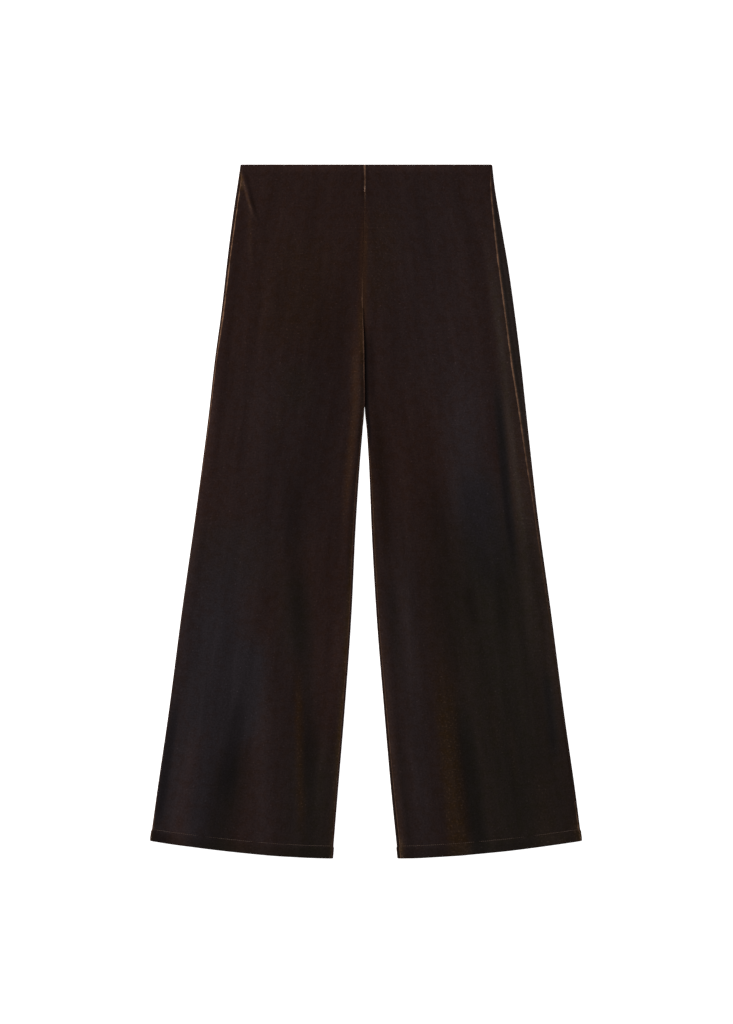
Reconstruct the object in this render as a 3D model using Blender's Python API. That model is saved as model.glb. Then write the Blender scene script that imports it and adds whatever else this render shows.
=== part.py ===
"""Palazzo pants in brown stretch velvet, laid flat with the front up.

Each panel is one wall of cloth. The backs lie flat and wrap round the folds at both edges of a
leg to the seams, and the fronts lie on them. The waist casing and the hem are turned in with
their panel. Metres, +Z up, the waist towards +Y and the wearer's left leg towards +X.
"""

from collections import namedtuple
from math import acos, cos, pi, sin

import bmesh
import bpy
from mathutils import Vector

MM = 0.001

# Driving dimensions. A drop is a distance below the waist edge.
LENGTH = 1040.5 * MM  # waist edge to the lowest point of the hems
CROTCH = 218 * MM
CASING = 35 * MM  # depth of the turned-in waist casing
HEM = 19 * MM  # depth of the turned-up hem
HEM_SWEEP = 26.3 * MM  # a flared leg's hem rises this far towards its side seam
SWEEP_POWER = 1.65
CLOTH = 1.2 * MM  # stretch velvet with its pile
SEAM_GAP = 0.3 * MM
TURN_RADIUS = CLOTH + 0.2 * MM  # outside of the tight turn at the waist edge and the hem
FOLD_RADIUS = 3.2 * MM  # outside of the soft fold along a leg's edges
QUARTER = FOLD_RADIUS * pi / 2  # length of cloth round a quarter of that fold

# How the front lies
BODY_SINK = 2.5 * MM  # the single layer lies lower than the turned-in bands
BAND_RAMP = 26 * MM
BAND_LIFT = 0.45  # share of a ridge's height that the stiffer bands keep
FOLD_RAMP = 20 * MM
GROOVE_DEPTH = 0.45 * MM
GROOVE_REACH = 6 * MM
CROTCH_RAMP = 12 * MM  # half the length over which the legs part into two tubes
CROTCH_RISE = 60 * MM  # the centre front rises over this length above the crotch
TURN_TRIM = 0.8 * MM  # turned-in cloth ends this much short of the seams

# The mesh
TURN_ROWS = 4
EDGE_STRIP = 5 * MM
FRONT_COLUMNS = (3, 16, 3)  # edge strip, panel, edge strip
BACK_COLUMNS = (4, 6, 5, 2)  # inner fold, panel, side fold, margin on the front

Stretch = namedtuple("Stretch", "start end rows")
BODY_ROWS = [
    Stretch(8, 36, 2),
    Stretch(36, 62, 1),
    Stretch(62, 206, 3),
    Stretch(206, 230, 3),
    Stretch(230, 366, 3),
    Stretch(366, 990, 13),
    Stretch(990, 1021, 1),
    Stretch(1021, 1034, 1),
]

# Centre seam, in mm: how far it wanders from the middle, and how far each leg parts from it
Centre = namedtuple("Centre", "drop wander right_parting left_parting")
CENTRE = [
    Centre(0, -1.9, 0.0, 0.0),
    Centre(60, -3.0, 0.0, 0.0),
    Centre(130, -4.4, 0.0, 0.0),
    Centre(190, -5.2, 0.0, 0.0),
    Centre(206, -5.2, 0.0, 0.0),
    Centre(230, -5.0, 0.25, 0.25),
    Centre(270, -3.6, 0.25, 0.25),
    Centre(362, -2.2, 0.25, 0.25),
    Centre(400, -2.0, 3.1, 3.2),
    Centre(460, -2.0, 8.0, 6.8),
    Centre(550, -2.0, 13.7, 10.4),
    Centre(670, -2.0, 19.4, 17.2),
    Centre(820, -2.0, 30.0, 29.2),
    Centre(940, -2.0, 40.0, 39.7),
    Centre(1041, -2.0, 48.2, 50.0),
]

# Legs, in mm: the side fold's distance from the middle, and how far in from the leg's two
# edges the seams show on the front
Station = namedtuple("Station", "drop side side_seam inseam")
RIGHT_LEG = [
    Station(0, 188.2, 2.6, 0.3),
    Station(60, 197.2, 2.9, 0.3),
    Station(130, 206.5, 2.8, 0.3),
    Station(220, 216.8, 1.6, 0.3),
    Station(295, 227.0, 1.3, 0.3),
    Station(370, 235.4, 1.2, 0.4),
    Station(520, 255.0, 1.0, 0.4),
    Station(670, 276.2, 1.0, 0.5),
    Station(820, 295.8, 1.0, 0.7),
    Station(940, 313.2, 0.9, 1.0),
    Station(1010, 322.9, 0.8, 1.4),
]
LEFT_LEG = [
    Station(0, 189.3, 2.6, 0.3),
    Station(30, 192.6, 4.8, 0.3),
    Station(95, 203.4, 9.6, 0.3),
    Station(160, 214.4, 13.4, 0.3),
    Station(240, 225.4, 13.6, 0.3),
    Station(295, 232.2, 12.8, 0.3),
    Station(365, 239.7, 9.0, 0.4),
    Station(460, 250.0, 8.2, 0.4),
    Station(520, 256.8, 5.0, 0.4),
    Station(670, 277.4, 5.0, 0.5),
    Station(820, 296.8, 5.0, 0.8),
    Station(940, 313.9, 4.2, 2.4),
    Station(1010, 322.9, 2.2, 4.6),
]

# Soft folds of the fronts, lengths in mm: their place as a share of the way from the side fold
# to the inseam, at the top and the bottom of the fold
Fold = namedtuple("Fold", "top bottom share_top share_bottom half_width height")
RIGHT_FOLDS = [
    Fold(22, 104, 0.05, 0.19, 13, 2.6),
    Fold(60, 560, 0.12, 0.20, 20, 2.2),
    Fold(60, 300, 0.20, 0.46, 18, 1.6),
    Fold(190, 580, 0.94, 0.89, 20, 2.6),
    Fold(300, 760, 0.34, 0.52, 34, 3.4),
    Fold(280, 1120, 0.46, 0.95, 22, -1.0),
    Fold(560, 1400, 0.28, -0.02, 36, 5.6),
    Fold(740, 1340, 0.39, 0.21, 24, -1.0),
    Fold(600, 1400, 0.46, 0.83, 36, 5.8),
    Fold(560, 1010, 0.79, 0.97, 22, 3.4),
]
LEFT_FOLDS = [
    Fold(70, 330, 0.32, 0.28, 34, 2.0),
    Fold(200, 580, 0.55, 0.33, 44, 3.0),
    Fold(290, 640, 0.21, 0.16, 18, -1.0),
    Fold(270, 860, 0.085, 0.10, 20, 4.4),
    Fold(300, 1400, 0.71, 0.99, 28, 4.6),
    Fold(440, 960, 0.58, 0.59, 36, -1.0),
    Fold(560, 760, 0.34, 0.22, 18, -0.8),
    Fold(620, 1000, 0.20, 0.14, 30, 3.4),
    Fold(680, 1400, 0.645, 0.66, 22, 5.4),
    Fold(800, 1340, 0.571, 0.568, 18, -1.0),
    Fold(760, 1400, 0.40, 0.36, 40, 5.0),
]

Leg = namedtuple("Leg", "name direction parting stations folds")
LEGS = [
    Leg("right", -1, "right_parting", RIGHT_LEG, RIGHT_FOLDS),
    Leg("left", 1, "left_parting", LEFT_LEG, LEFT_FOLDS),
]

Panel = namedtuple("Panel", "name colour")
FRONT = Panel("front", (0.022, 0.012, 0.009))
BACK = Panel("back", (0.018, 0.010, 0.008))
ROUGHNESS = 0.9


def ramp(value):
    """Smooth step from 0 to 1 while the value goes from 0 to 1."""
    value = min(max(value, 0.0), 1.0)
    return value * value * (3.0 - 2.0 * value)


def slope_at(table, column, index):
    """Slope of a table's column at a row, level at its turns so that the curve can't overshoot."""
    slopes = []
    for first in (index - 1, index):
        if 0 <= first < len(table) - 1:
            here, after = table[first], table[first + 1]
            rise = getattr(after, column) - getattr(here, column)
            slopes.append(rise / (after.drop - here.drop))
    if min(slopes) * max(slopes) <= 0:
        return 0.0
    return len(slopes) / sum(1 / slope for slope in slopes)


def read_table(table, column, drop):
    """Value of a table's column at a drop, on a smooth curve through its rows, in metres."""
    place = min(max(drop / MM, table[0].drop), table[-1].drop)
    index = 0
    while index < len(table) - 2 and place > table[index + 1].drop:
        index += 1
    here, after = table[index], table[index + 1]
    length = after.drop - here.drop
    share = (place - here.drop) / length
    eased = ramp(share)
    bulge = slope_at(table, column, index) * share * (1 - share) ** 2
    bulge -= slope_at(table, column, index + 1) * share ** 2 * (1 - share)
    value = getattr(here, column) * (1 - eased) + getattr(after, column) * eased
    return (value + bulge * length) * MM


def inner_edge(leg, drop):
    """Distance of a leg's inner edge from the middle of the pants, on the leg's own side."""
    wander = read_table(CENTRE, "wander", drop)
    return leg.direction * wander + read_table(CENTRE, leg.parting, drop)


def leg_width(leg, drop):
    """Width of a leg as it lies."""
    return read_table(leg.stations, "side", drop) - inner_edge(leg, drop)


def curl(drop):
    """How far the inner edges are rounded: 0 on the hips, 1 where the legs are two tubes."""
    return ramp((drop - CROTCH + CROTCH_RAMP) / (2 * CROTCH_RAMP))


def inner_bend(drop):
    """Radius of the bend along the inner edge and the room that its quarter takes up."""
    share = curl(drop)
    if share < 1e-6:
        return None, QUARTER
    radius = FOLD_RADIUS / share
    return radius, radius * sin(QUARTER / radius)


def face_length(leg, drop):
    """Length of cloth from the middle of the side fold to the middle of the inner fold."""
    flat = leg_width(leg, drop) - FOLD_RADIUS - inner_bend(drop)[1]
    return QUARTER + flat + QUARTER


def cloth_length(inset):
    """Cloth between the middle of a fold and a seam that shows this far in from the edge."""
    if inset < FOLD_RADIUS:
        return FOLD_RADIUS * acos(1 - inset / FOLD_RADIUS)
    return QUARTER + inset - FOLD_RADIUS


def side_seam(leg, drop):
    return cloth_length(read_table(leg.stations, "side_seam", drop))


def inseam(leg, drop):
    return cloth_length(read_table(leg.stations, "inseam", drop)) * curl(drop) ** 4


def fold_height(fold, share, drop, width):
    """Height of one soft fold, a ridge if positive and a trough if negative."""
    along = (drop / MM - fold.top) / (fold.bottom - fold.top)
    if not 0 < along < 1:
        return 0.0
    centre = fold.share_top + (fold.share_bottom - fold.share_top) * along
    reach = abs(share - centre) * width / (fold.half_width * MM)
    if reach >= 1:
        return 0.0
    ends = ramp(along / 0.3) * ramp((1 - along) / 0.3)
    return fold.height * MM * ends * (1 + cos(pi * reach)) / 2


def groove(distance):
    """Depth of the shallow groove beside a seam on the front."""
    return GROOVE_DEPTH * ramp(1 - abs(distance) / GROOVE_REACH)


def relief(leg, drop, around):
    """Height of the front over the level of the folds along the leg's edges."""
    width = leg_width(leg, drop)
    length = face_length(leg, drop)
    share = (around - QUARTER + FOLD_RADIUS) / width
    body = ramp((drop - CASING) / BAND_RAMP) * ramp((LENGTH - HEM - drop) / BAND_RAMP)
    height = -BODY_SINK * body
    for fold in leg.folds:
        lift = fold_height(fold, share, drop, width)
        height += lift * (body if lift < 0 else BAND_LIFT + (1 - BAND_LIFT) * body)
    parted = ramp((drop - CROTCH + CROTCH_RAMP + CROTCH_RISE) / CROTCH_RISE)
    height *= ramp((around - QUARTER) / FOLD_RAMP)
    height *= 1 - parted * (1 - ramp((length - QUARTER - around) / FOLD_RAMP))
    if around > QUARTER:
        height -= groove(around - side_seam(leg, drop))
    return height - groove(around - length) * (1 - parted)


def tube_point(leg, drop, around, depth):
    """Point of a leg's flattened tube: its distance in from the side fold, and its height.

    around is a length of cloth from the middle of the side fold, over the front if positive and
    under the back if negative. depth goes in from the pile.
    """
    upper = around >= 0
    run = abs(around)
    bend_start = face_length(leg, drop) - QUARTER
    if run < QUARTER:
        angle = run / FOLD_RADIUS
        out, up = -cos(angle), sin(angle)
        across = FOLD_RADIUS * (1 - cos(angle))
        height = FOLD_RADIUS * sin(angle)
    elif run < bend_start or curl(drop) < 1e-6:
        out, up = 0.0, 1.0
        across = FOLD_RADIUS + run - QUARTER
        height = FOLD_RADIUS
    else:
        radius = inner_bend(drop)[0]
        angle = (run - bend_start) / radius
        out, up = sin(angle), cos(angle)
        across = FOLD_RADIUS + bend_start - QUARTER + radius * sin(angle)
        height = FOLD_RADIUS - radius * (1 - cos(angle))
    across -= out * depth
    height -= up * depth
    if upper:
        return across, FOLD_RADIUS + height + relief(leg, drop, around)
    return across, FOLD_RADIUS - height


def place(leg, drop, across, height):
    """A tube's point in the pants' frame, on rows that sweep up towards the side seam."""
    width = leg_width(leg, drop)
    share = max(1 - across / width, 0.0)
    swept = drop - HEM_SWEEP * (drop / LENGTH) ** 2 * share ** SWEEP_POWER
    side = read_table(leg.stations, "side", swept)
    x = side - across * (side - inner_edge(leg, swept)) / width
    return Vector((leg.direction * x, LENGTH / 2 - swept, height))


def spread(stops, counts):
    """Values that divide each stretch between two stops into its count of equal steps."""
    values = [stops[0]]
    for start, end, count in zip(stops, stops[1:], counts):
        values += [start + (end - start) * step / count for step in range(1, count + 1)]
    return values


def front_columns(leg, drop, trim):
    """Where the front's columns lie round the tube, from its side seam to its inner seam."""
    first = side_seam(leg, drop) + SEAM_GAP / 2 + trim
    last = face_length(leg, drop) - inseam(leg, drop) - SEAM_GAP / 2 - trim
    return spread((first, first + EDGE_STRIP, last - EDGE_STRIP, last), FRONT_COLUMNS)


def back_columns(leg, drop, trim):
    """Where the back's columns lie round the tube, from its inner seam to its side seam."""
    length = face_length(leg, drop)
    first = -length - inseam(leg, drop) + SEAM_GAP / 2 + trim
    last = side_seam(leg, drop) - SEAM_GAP / 2 - trim
    margin = 0.85 * min(last, QUARTER)
    return spread((first, QUARTER - length, -QUARTER, margin, last), BACK_COLUMNS)


def panel_rows(inset):
    """Drop and depth of each row, from the casing's free edge to the hem's free edge.

    inset is 0 on the pile and the cloth's thickness on its wrong side.
    """
    radius = TURN_RADIUS - inset
    turned_in = TURN_RADIUS + radius
    waist_turn, hem_turn = [], []
    for step in range(TURN_ROWS + 1):
        angle = pi * step / TURN_ROWS
        reach = TURN_RADIUS - radius * sin(angle)
        waist_turn.append((reach, TURN_RADIUS + radius * cos(angle)))
        hem_turn.append((LENGTH - reach, TURN_RADIUS - radius * cos(angle)))
    rows = [(CASING, turned_in), (CASING / 2, turned_in)] + waist_turn
    stops = [stretch.start * MM for stretch in BODY_ROWS] + [BODY_ROWS[-1].end * MM]
    rows += [(drop, inset) for drop in spread(stops, [stretch.rows for stretch in BODY_ROWS])]
    return rows + hem_turn + [(LENGTH - HEM / 2, turned_in), (LENGTH - HEM, turned_in)]


def velvet(panel):
    """Dark brown stretch velvet."""
    material = bpy.data.materials.new(f"velvet_{panel.name}")
    material.use_nodes = True
    shader = material.node_tree.nodes["Principled BSDF"]
    shader.inputs["Base Color"].default_value = (*panel.colour, 1.0)
    shader.inputs["Roughness"].default_value = ROUGHNESS
    shader.inputs["Metallic"].default_value = 0.0
    material.diffuse_color = (*panel.colour, 1.0)
    return material


def flat_block(column_count, row_count):
    """A unit block one cell thick, with its pile at z = 0 and its wrong side at z = -1."""
    block = bmesh.new()
    bmesh.ops.create_grid(block, x_segments=column_count, y_segments=row_count, size=0.5)
    whole = block.faces[:] + block.edges[:]
    copy = bmesh.ops.extrude_face_region(block, geom=whole, use_keep_orig=True)
    wrong_side = [item for item in copy["geom"] if isinstance(item, bmesh.types.BMVert)]
    bmesh.ops.translate(block, verts=wrong_side, vec=(0, 0, -1))
    bmesh.ops.recalc_face_normals(block, faces=block.faces)
    return block


def build_panel(panel, leg, columns, material):
    """One panel: a block of cells, laid on the leg's tube as a wall of cloth."""
    sides = (panel_rows(0.0), panel_rows(CLOTH))
    column_count = sum(FRONT_COLUMNS if panel is FRONT else BACK_COLUMNS)
    row_count = len(sides[0]) - 1
    block = flat_block(column_count, row_count)
    for vert in block.verts:
        column = round((vert.co.x + 0.5) * column_count)
        row = round((vert.co.y + 0.5) * row_count)
        drop, depth = sides[round(-vert.co.z)][row]
        turned = max(sides[0][row][1] - TURN_RADIUS, 0) / TURN_RADIUS
        around = columns(leg, drop, TURN_TRIM * turned)[column]
        vert.co = place(leg, drop, *tube_point(leg, drop, around, depth))
    if leg.direction < 0:
        bmesh.ops.reverse_faces(block, faces=block.faces)
    mesh = bpy.data.meshes.new(f"{panel.name}_{leg.name}")
    block.to_mesh(mesh)
    block.free()
    mesh.materials.append(material)
    mesh.shade_smooth()
    bpy.context.scene.collection.objects.link(bpy.data.objects.new(mesh.name, mesh))


def build():
    for item in list(bpy.data.objects):
        bpy.data.objects.remove(item, do_unlink=True)
    for panel, columns in ((FRONT, front_columns), (BACK, back_columns)):
        material = velvet(panel)
        for leg in LEGS:
            build_panel(panel, leg, columns, material)


build()
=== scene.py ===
from math import pi

import bmesh
import bpy
import numpy as np
from mathutils import Matrix, Vector, noise


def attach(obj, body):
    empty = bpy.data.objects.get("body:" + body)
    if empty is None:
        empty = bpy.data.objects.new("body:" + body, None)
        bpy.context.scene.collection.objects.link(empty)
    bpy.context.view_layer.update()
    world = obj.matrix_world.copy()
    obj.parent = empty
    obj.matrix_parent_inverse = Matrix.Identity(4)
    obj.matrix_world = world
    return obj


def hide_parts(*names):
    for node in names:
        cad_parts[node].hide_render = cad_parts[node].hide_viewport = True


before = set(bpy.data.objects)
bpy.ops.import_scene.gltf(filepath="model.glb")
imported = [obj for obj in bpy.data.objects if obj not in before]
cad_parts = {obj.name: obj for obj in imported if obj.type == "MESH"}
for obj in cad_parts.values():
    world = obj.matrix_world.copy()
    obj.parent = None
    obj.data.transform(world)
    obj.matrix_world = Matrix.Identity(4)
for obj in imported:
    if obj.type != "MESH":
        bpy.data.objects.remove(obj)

# Palazzo pants in dark brown stretch velvet, laid flat with the front up. Lengths are in mm
# until they go into a mesh. A drop is a distance below the waist edge. Around is a length of
# cloth from the middle of a leg's side fold: over the front if positive, under the back if
# negative. A share is 0 at the side fold and 1 at the leg's inner edge.

scene = bpy.context.scene
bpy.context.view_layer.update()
mm = 0.001

cut = {
    "length": 1040.5,  # waist edge to the lowest point of the hems
    "crotch": 218.0,
    "crotchRamp": 12.0,  # half the length over which the legs part into two tubes
    "casing": 35.0,  # depth of the turned-in waist casing
    "hem": 19.0,  # depth of the turned-up hem
    "hemSweep": 26.3,  # the hem rises this far towards its side seam
    "sweepPower": 1.65,
    "cloth": 1.2,
    "seamGap": 0.3,
    "turnRadius": 1.4,
    "foldRadius": 3.2,
}
quarter = cut["foldRadius"] * pi / 2

# drop, wander of the centre seam, parting of the right leg, parting of the left leg
centre = np.array([
    (0, -2.2, 0.0, 0.0), (30, -1.75, 0.0, 0.0), (60, -1.9, 0.0, 0.0), (130, -4.0, 0.0, 0.0),
    (190, -5.2, 0.0, 0.0), (206, -5.2, 0.0, 0.0), (230, -5.0, 0.25, 0.25),
    (270, -3.6, 0.25, 0.25), (362, -2.2, 0.25, 0.25), (400, -2.0, 3.1, 3.2),
    (460, -2.0, 8.0, 6.8), (550, -2.0, 13.7, 10.4), (670, -2.0, 19.4, 17.2),
    (820, -2.0, 30.0, 29.2), (940, -2.0, 40.0, 39.7), (1041, -2.0, 48.2, 50.0),
])

# stations: drop, side fold from the middle, insets of the side seam and the inseam, and how much
# painted copper highlight shows along each of those seams
# folds and creases: top, bottom, share at the top, share at the bottom, half width, height
# nap: where a hand has brushed the pile, and where fold shade, edge sheen, copper glints and
# shadows are painted: top, bottom, share at the top, share at the bottom, half width, light (in
# doublings), then how far the pile turns lilac, moss and amber
rightLeg = {
    "name": "right",
    "direction": -1,
    "parting": 2,
    "stations": np.array([
        (0, 188.2, 2.8, 0.3, 0.1, 0.72), (30, 192.6, 4.1, 0.3, 0.62, 0.42),
        (60, 197.2, 4.1, 0.3, 0.8, 0.2), (130, 206.5, 3.6, 0.3, 0.88, 0.05),
        (220, 216.8, 2.9, 0.6, 0.88, 0.78), (295, 227.0, 2.1, 0.9, 0.75, 0.64),
        (370, 235.4, 1.6, 1.3, 0.7, 0.3), (520, 255.0, 1.2, 3.5, 0.35, 0.33),
        (670, 276.2, 1.0, 3.3, 0.3, 0.38), (820, 295.8, 1.0, 3.2, 0.1, 0.36),
        (940, 313.2, 0.9, 3.0, 0.05, 0.32), (1010, 322.9, 0.8, 2.4, 0.6, 0.35),
    ]),
    "folds": [
        (22, 104, 0.05, 0.19, 13, 2.6), (60, 560, 0.12, 0.20, 20, 2.2),
        (60, 300, 0.20, 0.46, 18, 1.6), (190, 580, 0.94, 0.89, 20, 2.6),
        (300, 760, 0.34, 0.52, 34, 3.4), (280, 1120, 0.46, 0.95, 22, -1.0),
        (560, 1400, 0.28, -0.02, 36, 5.6), (740, 1340, 0.39, 0.21, 24, -1.0),
        (600, 1400, 0.46, 0.83, 36, 5.8), (560, 1010, 0.79, 0.97, 22, 3.4),
    ],
    "creases": [
        (4, 86, -0.006, 0.172, 5, 0.7), (50, 170, 0.105, 0.20, 7, 0.5),
        (34, 150, 0.13, 0.235, 5, -0.5), (92, 330, 0.175, 0.20, 6, 0.5), (70, 210, 0.27, 0.39, 7, 0.35),
        (150, 420, 0.13, 0.145, 7, -0.4), (210, 470, 0.62, 0.66, 10, 0.4),
        (340, 700, 0.36, 0.50, 7, 0.5), (380, 640, 0.25, 0.31, 9, -0.4),
        (420, 900, 0.74, 0.80, 9, 0.45), (520, 820, 0.10, 0.12, 8, 0.45),
        (610, 1000, 0.27, 0.15, 9, 0.6), (700, 1060, 0.37, 0.30, 8, -0.5),
        (760, 1060, 0.52, 0.65, 8, 0.6), (800, 1060, 0.70, 0.80, 7, -0.4),
        (650, 860, 0.05, 0.06, 6, -0.3), (860, 1080, 0.90, 0.93, 8, 0.4),
    ],
    "nap": [
        (-14, 14, 0.6, 0.6, 150, 0.4, 0, 0, 0),
        (2, 88, -0.01, 0.176, 4.2, 0.95, 0, 0, 0.3),
        (4, 94, 0.035, 0.216, 4.5, -0.45, 0, 0, 0),
        (8, 44, 0.0, 0.05, 4.5, 0.5, 0, 0, 0.8),
        (50, 170, 0.105, 0.2, 6, 0.22, 0, 0, 0.2),
        (60, 400, 0.075, 0.085, 9, -0.15, 0, 0, 0),
        (100, 560, 0.195, 0.2, 8, 0.2, 0, 0, 0),
        (110, 330, 0.24, 0.27, 8, -0.12, 0, 0, 0),
        (120, 520, 0.3, 0.33, 14, 0.12, 0, 0, 0),
        (120, 900, 0, 0, 24, 0.36, 0, 0, 0),
        (90, 620, 0.72, 0.72, 75, -0.28, 0, 0, 0),
        (80, 300, 0.55, 0.55, 90, 0, 0, 0, 0.25),
        (215, 580, 0.948, 0.925, 12, 0.65, -0.2, -0.25, 0.35),
        (250, 440, 0.985, 0.98, 4, -0.5, 0, -0.2, 0.4),
        (290, 380, 0.55, 0.57, 40, -0.1, 0, 0.2, 0.3),
        (350, 420, 0.44, 0.45, 16, 0, 0, 0, 0.3),
        (420, 760, 0.54, 0.74, 26, -0.3, 0, 0.1, 0),
        (580, 980, 0.66, 0.845, 28, -0.32, 0, 0.3, 0),
        (780, 1120, 0.78, 0.9, 24, -0.32, 0, 0, 0),
        (520, 660, 0.3, 0.3, 140, 0, 0.15, 0.3, 0),
        (600, 760, 0.62, 0.68, 40, 0, 0, 0.4, 0),
        (520, 1170, 0.22, 0.175, 90, 0.08, 0.85, 0.1, 0),
        (700, 900, 0.43, 0.41, 45, 0.03, 0.9, 0.1, 0),
        (790, 980, 0.38, 0.385, 20, -0.45, 0.3, 0.5, 0),
        (850, 1140, 0.4, 0.33, 42, -0.55, -0.05, 0.6, 0),
        (800, 1040, 0.035, 0.03, 11, -0.5, 0.5, 0.4, 0),
        (820, 1130, 0.19, 0.13, 28, 0.42, -0.45, -0.1, 0),
        (-60, 70, 0.98, 0.98, 3.5, -0.25, 0, 0, 0),
        (760, 1120, 0.53, 0.63, 24, 0.25, 0.1, 0, 0),
        (820, 1200, 0.85, 0.92, 70, -0.12, 0, 0.7, 0),
        (720, 1040, 0.695, 0.837, 12, 0.26, -0.2, -0.45, 0.65),
        (200, 310, 0.985, 0.985, 8, 0.12, -0.2, -0.2, 0.3),
        (1020, 1060, 0.5, 0.5, 400, -0.2, -0.2, 0.3, 0),
        (40, 290, 0.99, 0.99, 8, 0.25, -0.3, -0.3, 0.22),
        (240, 620, 0.5, 0.5, 160, 0, 0.25, 0, 0),
        (600, 1200, 0.6, 0.7, 90, 0, 0.2, 0.1, 0),
        (560, 1000, 0.99, 0.99, 14, 0.25, 0, 0.2, 0.1),
        (440, 660, 0.97, 0.968, 8, -0.35, 0, 0, 0),
        (640, 880, 0.92, 0.915, 16, 0.22, 0, 0, 0),
        (370, 500, 0.99, 0.99, 7, -0.4, 0, 0, 0),
        (400, 1060, 0.985, 0.985, 8, -0.05, 0, -0.2, 0.7),
        (1000, 1060, 0.99, 0.99, 8, 0.1, 0, 0, 0.8),
        (1000, 1060, 0, 0, 8, 0.2, 0, 0, 0.8),
        (760, 1060, 0.99, 0.99, 9, 0.2, 0, 0, 0.3),
        (240, 720, 0.015, 0.015, 17, 0.2, 0, 0, 0),
        (1018, 1064, 0.06, 0.06, 34, -0.45, 0, 0, 0),
        (1018, 1064, 0.42, 0.42, 60, 0.2, 0, 0, 0.1),
    ],
}
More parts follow.
